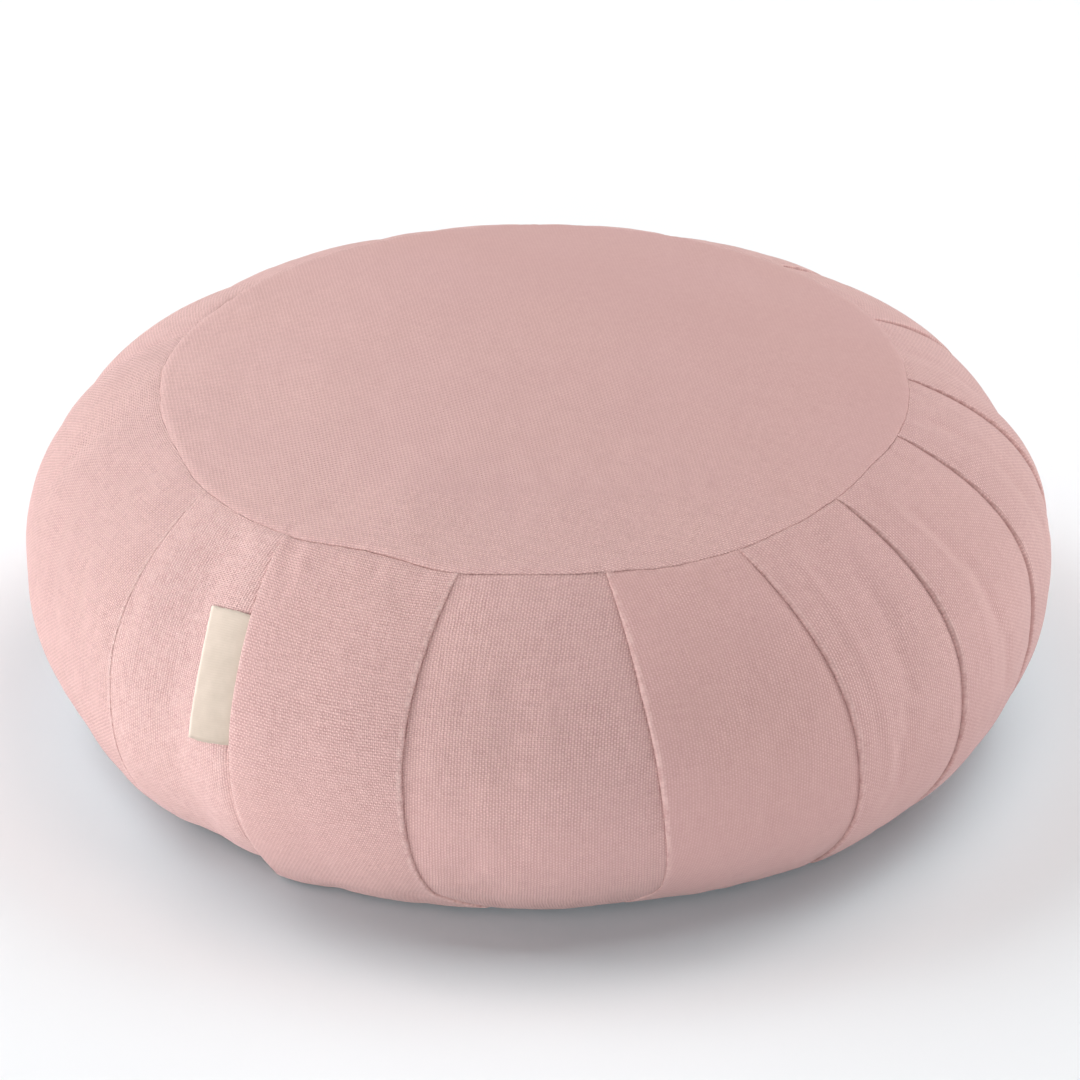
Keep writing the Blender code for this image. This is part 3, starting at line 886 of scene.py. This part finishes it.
def add(tree, kind, *values, out=0, settings=None, **named):
    """Adds a node and gives one of its outputs.

    The kind can name an operation after a colon. Values, or links from other nodes, go to
    the inputs in their order, by name, or by number as _6.
    """
    kind, _, operation = kind.partition(":")
    node = tree.nodes.new("ShaderNode" + kind)
    if operation:
        node.operation = operation
    for name, value in (settings or {}).items():
        setattr(node, name, value)
    inputs = list(enumerate(values))
    for name, value in named.items():
        inputs.append((int(name[1:]) if name[1:].isdigit() else name, value))
    for place, value in inputs:
        if isinstance(value, bpy.types.NodeSocket):
            tree.links.new(value, node.inputs[place])
        else:
            node.inputs[place].default_value = value
    return node.outputs[out]


def new_material(name, **finish):
    """A new material with the finish's numbers on its shader, and its node tree."""
    made = bpy.data.materials.new(name)
    made.use_nodes = True
    for place, value in finish.items():
        made.node_tree.nodes["Principled BSDF"].inputs[place.replace("_", " ")].default_value = value
    print("material:", name)
    return made, made.node_tree


def dress(material, colour, bump=None):
    """Links a colour and a bump to the material's shader."""
    tree = material.node_tree
    shader = tree.nodes["Principled BSDF"]
    tree.links.new(colour, shader.inputs["Base Color"])
    if bump:
        tree.links.new(bump, shader.inputs["Normal"])
    return material


# %% The weave's height
WARP_PITCH, WEFT_PITCH = 1.11 * MM, 0.78 * MM
# Threads stray by a part of their pitch, over about this length.
STRAY_SIZE, STRAY = 3.85 * MM, 0.5
# A slub is a thick place in a thread, about eleven times as long as the thread is wide.
SLUB_NARROW, SLUB_HEIGHT = 0.09, 0.4
WARP_ROUND, WARP_OVER, WEFT_ROUND, WEFT_OVER = 0.45, 0.55, 0.2, -0.3


def weave_height(tree, uv):
    """How high the cloth stands at each place, from 0 in the pits to about 1 on the threads."""
    across, along, _ = add(tree, "SeparateXYZ", uv).node.outputs
    # Wear leaves no thread quite straight.
    stray = add(tree, "TexNoise", Vector=uv, Scale=1 / STRAY_SIZE, Detail=1.0, out=1)
    stray_across, stray_along, _ = add(tree, "SeparateXYZ", stray).node.outputs
    warp_count = add(tree, "Math:DIVIDE", across, WARP_PITCH)
    weft_count = add(tree, "Math:DIVIDE", along, WEFT_PITCH)
    warp = add(tree, "Math:MULTIPLY_ADD", stray_across, STRAY, warp_count)
    weft = add(tree, "Math:MULTIPLY_ADD", stray_along, STRAY, weft_count)
    # Each thread thickens and thins along its run.
    warp_run = add(tree, "Math:MULTIPLY", weft, SLUB_NARROW)
    weft_run = add(tree, "Math:MULTIPLY", warp, SLUB_NARROW)
    warp_place = add(tree, "CombineXYZ", warp, warp_run)
    weft_place = add(tree, "CombineXYZ", weft_run, weft, 7.0)
    warp_slub = add(tree, "TexNoise", Vector=warp_place, Scale=1.0, Detail=1.0)
    weft_slub = add(tree, "TexNoise", Vector=weft_place, Scale=1.0, Detail=1.0)
    warp_slub = add(tree, "Math:SUBTRACT", warp_slub, 0.5)
    weft_slub = add(tree, "Math:SUBTRACT", weft_slub, 0.5)
    slubs = add(tree, "Math:ADD", warp_slub, weft_slub)
    # The waves' product is above zero where the warp lies on top, and below it elsewhere.
    warp_wave = add(tree, "Math:SINE", add(tree, "Math:MULTIPLY", warp, math.pi))
    weft_wave = add(tree, "Math:SINE", add(tree, "Math:MULTIPLY", weft, math.pi))
    crossing = add(tree, "Math:MULTIPLY", warp_wave, weft_wave)
    warp_over = add(tree, "Math:MULTIPLY", crossing, WARP_OVER)
    weft_over = add(tree, "Math:MULTIPLY", crossing, WEFT_OVER)
    warp_round = add(tree, "Math:ABSOLUTE", warp_wave)
    weft_round = add(tree, "Math:ABSOLUTE", weft_wave)
    warp_top = add(tree, "Math:MULTIPLY_ADD", warp_round, WARP_ROUND, warp_over)
    weft_top = add(tree, "Math:MULTIPLY_ADD", weft_round, WEFT_ROUND, weft_over)
    height = add(tree, "Math:MAXIMUM", warp_top, weft_top)
    return add(tree, "Math:MULTIPLY_ADD", slubs, SLUB_HEIGHT, height)


# %% Dye, wear, painted shade and painted highlights
# The pit colour is painted shade between the threads, and the worn colour is both rubbing and painted
# highlight.
CANVAS_COLOUR, PIT_COLOUR, DRIFT_COLOUR, WORN_AND_LIT_COLOUR = "#E9C3BE", "#A57A75", "#C49C9E", "#EBCFCA"
DRIFT_SIZE, PATCH_SIZE, FLECK_SIZE = 71.4 * MM, 14.3 * MM, 2.38 * MM
DRIFT_RANGE, DRIFT_LEAST, PATCH_RANGE, PATCH_LEAST, FLECK_RANGE = 0.5, -0.1, 1.1, 0.45, 0.12
# Tone runs from 0, the pits' colour, which is painted shade, to 1, the thread tops'. This is the tone half
# way up the threads, which is painted a little paler where the relief is strong, against the shade the
# deeper bump casts.
MIDDLE_HEIGHT, MIDDLE_TONE, RELIEF_TONE = 0.36, 0.31, 0.15
BARE_FLECKS, RUBBED_AND_LIT_SHARE = (0.35, 0.65), 0.4
COLOURS = {"data_type": "RGBA"}


def canvas_colour(tree, height, relief, rub_and_lit, weave_contrast):
    """Dye with painted shade in the pits, which drifts in tone over the cloth and is rubbed paler, with
    painted highlights, on folds.
    """
    position = add(tree, "NewGeometry", out="Position")
    drift = add(tree, "TexNoise", Vector=position, Scale=1 / DRIFT_SIZE, Detail=2.0)
    patch = add(tree, "TexNoise", Vector=position, Scale=1 / PATCH_SIZE, Detail=1.0)
    fleck = add(tree, "TexNoise", Vector=position, Scale=1 / FLECK_SIZE, Detail=2.0)
    patchy = add(tree, "Math:MULTIPLY_ADD", patch, PATCH_RANGE, PATCH_LEAST)
    contrast = add(tree, "Math:MULTIPLY", relief, weave_contrast)
    contrast = add(tree, "Math:MULTIPLY", patchy, contrast)
    middle = add(tree, "Math:MULTIPLY_ADD", relief, RELIEF_TONE, MIDDLE_TONE)
    raised = add(tree, "Math:SUBTRACT", height, MIDDLE_HEIGHT)
    tone = add(tree, "Math:MULTIPLY_ADD", raised, contrast, middle)
    flecked = add(tree, "Math:MULTIPLY_ADD", fleck, FLECK_RANGE, -FLECK_RANGE / 2)
    tone = add(tree, "Math:ADD", tone, flecked)
    # Painted shade in the pits between the threads.
    dyes = {"_6": linear(PIT_COLOUR), "_7": linear(CANVAS_COLOUR)}
    colour = add(tree, "Mix", tone, **dyes, out=2, settings=COLOURS)
    drifted = add(tree, "Math:MULTIPLY_ADD", drift, DRIFT_RANGE, DRIFT_LEAST)
    colour = add(tree, "Mix", drifted, _6=colour, _7=linear(DRIFT_COLOUR), out=2, settings=COLOURS)
    # Folds are rubbed paler and given painted highlights, in flecks.
    flecks = add(tree, "MapRange", fleck, *BARE_FLECKS)
    rubbed = add(tree, "Math:MULTIPLY", add(tree, "Math:MULTIPLY", rub_and_lit, flecks), RUBBED_AND_LIT_SHARE)
    return add(tree, "Mix", rubbed, _6=colour, _7=linear(WORN_AND_LIT_COLOUR), out=2, settings=COLOURS)


# %% Canvas
# Cotton is rough and hardly shines. The little sheen is its fuzz, which catches light at the rim.
COTTON = {"Roughness": 0.92, "Specular_IOR_Level": 0.25, "Sheen_Weight": 0.12, "Sheen_Roughness": 0.5}
# Rubbing also flattens the threads, by this much of their relief.
RUBBED_FLAT = -0.5


def canvas_material(name, weave_depth, weave_contrast):
    """Canvas whose weave shows in its relief and in its tone."""
    made, tree = new_material(name, **COTTON)
    height = weave_height(tree, add(tree, "UVMap", settings={"uv_map": "cloth"}))
    relief = add(tree, "Attribute", out="Fac", settings={"attribute_name": "relief"})
    rub_and_lit = add(tree, "Attribute", out="Fac", settings={"attribute_name": "rub_and_highlight"})
    colour = canvas_colour(tree, height, relief, rub_and_lit, weave_contrast)
    kept = add(tree, "Math:MULTIPLY_ADD", rub_and_lit, RUBBED_FLAT, relief)
    raised = add(tree, "Math:MULTIPLY", height, kept)
    bump = add(tree, "Bump", Strength=1.0, Distance=weave_depth, Height=raised)
    return dress(made, colour, bump)


# The top is the same cloth, but it has been sat on, so its threads are flatter and more even, and its
# painted pit shade is lighter.
SIDE_WEAVE, TOP_WEAVE = (0.26 * MM, 0.55), (0.2 * MM, 0.37)
side_canvas = canvas_material("rose cotton canvas, plain weave", *SIDE_WEAVE)
top_canvas = canvas_material("rose cotton canvas, plain weave, sat smooth", *TOP_WEAVE)

# %% [markdown]
# ## Ribbon
#
# Cotton ribbon is woven so finely that only its ribs show. It is smoother than canvas, and
# left undyed it is cream. Its folded edge gets a painted highlight, and painted shade darkens it
# between the ribs and toward its low end.

# %% Ribbon
# Real ribbon threads are 0.3 mm apart. They are drawn 0.5 mm apart so that the picture can hold them.
RIB_PITCH, CROSS_PITCH, RIB_HEIGHT = 0.5 * MM, 0.9 * MM, 0.06 * MM
RIBBON_DARK, RIBBON_LIGHT, RIBBON_EDGE_HIGHLIGHT = "#A99A8B", "#CCBCAE", "#DDD0C4"
SOIL_SIZE = 5.56 * MM


def ribbon_material(name):
    """Smooth woven ribbon, with fine ribs, a little soil, painted shade and a painted highlight."""
    made, tree = new_material(name, Roughness=0.7, Sheen_Weight=0.1)
    uv = add(tree, "UVMap", settings={"uv_map": "cloth"})
    across, along, _ = add(tree, "SeparateXYZ", uv).node.outputs
    ribs = add(tree, "Math:SINE", add(tree, "Math:MULTIPLY", across, 2 * math.pi / RIB_PITCH))
    cross = add(tree, "Math:SINE", add(tree, "Math:MULTIPLY", along, 2 * math.pi / CROSS_PITCH))
    weave = add(tree, "Math:MULTIPLY_ADD", ribs, 0.5, add(tree, "Math:MULTIPLY", cross, 0.15))
    soil = add(tree, "TexNoise", Vector=uv, Scale=1 / SOIL_SIZE, Detail=3.0)
    # Painted shade between the ribs, random soil, and painted shade darkening toward the low end.
    tone = add(tree, "Math:MULTIPLY_ADD", weave, 0.25, 0.6)
    tone = add(tree, "Math:MULTIPLY_ADD", soil, 0.6, tone)
    tone = add(tree, "Math:MULTIPLY_ADD", along, -0.5 / TAG_LENGTH, tone)
    shades = {"_6": linear(RIBBON_DARK), "_7": linear(RIBBON_LIGHT)}
    colour = add(tree, "Mix", tone, **shades, out=2, settings=COLOURS)
    # Painted highlight along the folded edge.
    rub_and_lit = add(tree, "Attribute", out="Fac", settings={"attribute_name": "rub_and_highlight"})
    colour = add(tree, "Mix", rub_and_lit, _6=colour, _7=linear(RIBBON_EDGE_HIGHLIGHT), out=2, settings=COLOURS)
    bump = add(tree, "Bump", Strength=1.0, Distance=RIB_HEIGHT, Height=weave)
    return dress(made, colour, bump)


cream = ribbon_material("cream cotton ribbon, fine weave")

# %% Cut each piece from its cloth
cut_from = ((band, side_canvas), (crown, top_canvas), (base, side_canvas), (ribbon, cream))
for piece, material in cut_from:
    piece.data.materials.append(material)

# %% [markdown]
# ## Tie the pieces to the frame
#
# Each piece of cloth rides on the frame and takes the place of one imported solid, which is hidden.

# %% Ride and replace
for piece, node, slot in (
    (band, "side_band", "rose_canvas_band"),
    (crown, "top_panel", "rose_canvas_top"),
    (base, "bottom_panel", "rose_canvas_base"),
    (ribbon, "tag", "cream_ribbon"),
):
    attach(piece, "root")
    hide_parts(node)

# %% [markdown]
# ## Camera
#
# A long lens, well back and looking down about 29 degrees, keeps the round seam's ellipse
# calm. The camera is turned about its own axis by a quarter of a degree, as a hand levels it.

# %% Camera
LENS, SENSOR, CAMERA_DISTANCE = 213.2, 36.0, 2.5
ELEVATION, ROLL = math.radians(29.06), math.radians(-0.274)
AIM = Vector((0.0012, 0, 0.0677))
camera = new_object("camera", bpy.data.cameras.new("camera"))
camera.data.lens, camera.data.sensor_width = LENS, SENSOR
look = Vector((0, math.cos(ELEVATION), -math.sin(ELEVATION)))
across, above = Vector((1, 0, 0)), Vector((1, 0, 0)).cross(look)
right = math.cos(ROLL) * across + math.sin(ROLL) * above
rise = math.cos(ROLL) * above - math.sin(ROLL) * across
camera.matrix_world = Matrix((right, rise, -look)).transposed().to_4x4()
camera.location = AIM - look * CAMERA_DISTANCE
bpy.context.scene.camera = camera
print("camera stands at", [round(value, 2) for value in camera.location])

# %% [markdown]
# ## Floor and light
#
# White seamless paper, lit from all round by soft boxes: strongest from the left, weaker
# from the right and behind, and one low in front. Low boxes light the side of the cushion
# but skim the floor, so the shadow under the front stays deep.
#
# Matt paper doesn't shine at all. The cloth throws rose light on the paper round it, but the
# photograph's shadow is a plain grey, so the paper is a little cooler there.

# %% Floor
PAPER_REACH, COOL_REACH, PLAIN_REACH = 2.6, 0.17, 0.24
COOL_PAPER, PLAIN_PAPER = "#DCEEF4", "#EEF0F2"


def paper_material(name):
    """Matt white paper, cooler round the cushion."""
    made, tree = new_material(name, Roughness=1, Specular_IOR_Level=0)
    place = add(tree, "NewGeometry", out="Position")
    away = add(tree, "VectorMath:LENGTH", place, out="Value")
    smooth = {"interpolation_type": "SMOOTHSTEP"}
    plain = add(tree, "MapRange", away, COOL_REACH, PLAIN_REACH, settings=smooth)
    papers = {"_6": linear(COOL_PAPER), "_7": linear(PLAIN_PAPER)}
    return dress(made, add(tree, "Mix", plain, **papers, out=2, settings=COLOURS))


floor_data = bpy.data.meshes.new("floor")
paper_corners = [(x * PAPER_REACH, y * PAPER_REACH, 0) for x, y in ((-1, -1), (1, -1), (1, 1), (-1, 1))]
floor_data.from_pydata(paper_corners, [], [(0, 1, 2, 3)])
floor = new_object("floor", floor_data)
floor_data.materials.append(paper_material("white seamless paper"))

# %% Soft boxes
BOX_WIDTH, BOX_DISTANCE = 1.4, 2.6
# The boxes that stand higher than this many degrees are hung a little higher still.
HUNG_FROM_DEG, HUNG_HIGHER = 20, 0.07
# Name, degrees round from the front, degrees up, height of the box in metres, watts.
BOXES = (
    ("left, on the floor", -75, 4, 0.3, 34.4),
    ("left front, on the floor", -45, 4, 0.3, 19.8),
    ("right, on the floor", 75, 4, 0.3, 13.9),
    ("right side, on the floor", 105, 4, 0.3, 15.2),
    ("right back, on the floor", 165, 4, 0.3, 10.5),
    ("left low", -105, 14, 0.8, 18.9),
    ("front right low", 15, 14, 0.8, 18.8),
    ("left back, half way up", -135, 30, 1.4, 6.9),
    ("left back high", -135, 50, 1.4, 10.0),
    ("left high", -105, 50, 1.4, 25.4),
    ("right high", 105, 50, 1.4, 14.8),
    ("right back high", 135, 50, 1.4, 17.0),
    ("right overhead", 90, 75, 1.4, 15.7),
)
for name, turn_deg, rise_deg, tall, watts in BOXES:
    light = bpy.data.lights.new(name, "AREA")
    light.shape, light.size, light.size_y, light.energy = "RECTANGLE", BOX_WIDTH, tall, watts
    box = new_object(name, light)
    turned, raised = math.radians(turn_deg), math.radians(rise_deg)
    level, up = math.cos(raised), math.sin(raised)
    toward = Vector((math.sin(turned) * level, -math.cos(turned) * level, up))
    box.location = toward * BOX_DISTANCE + Vector((0, 0, HUNG_HIGHER if rise_deg > HUNG_FROM_DEG else 0))
    box.rotation_euler = (-toward).to_track_quat("-Z", "Y").to_euler()
print(len(BOXES), "soft boxes,", round(sum(watts for *_, watts in BOXES)), "watts in all")

# %% The room behind
# Past the paper the room is plain white, and it is only seen: the soft boxes alone give the light.
world = bpy.data.worlds.new("white room")
bpy.context.scene.world = world
world.use_nodes = True
world.node_tree.nodes["Background"].inputs["Color"].default_value = (1, 1, 1, 1)
for ray in ("diffuse", "glossy", "transmission", "scatter"):
    setattr(world.cycles_visibility, ray, False)
bpy.context.scene.view_settings.view_transform = "Standard"
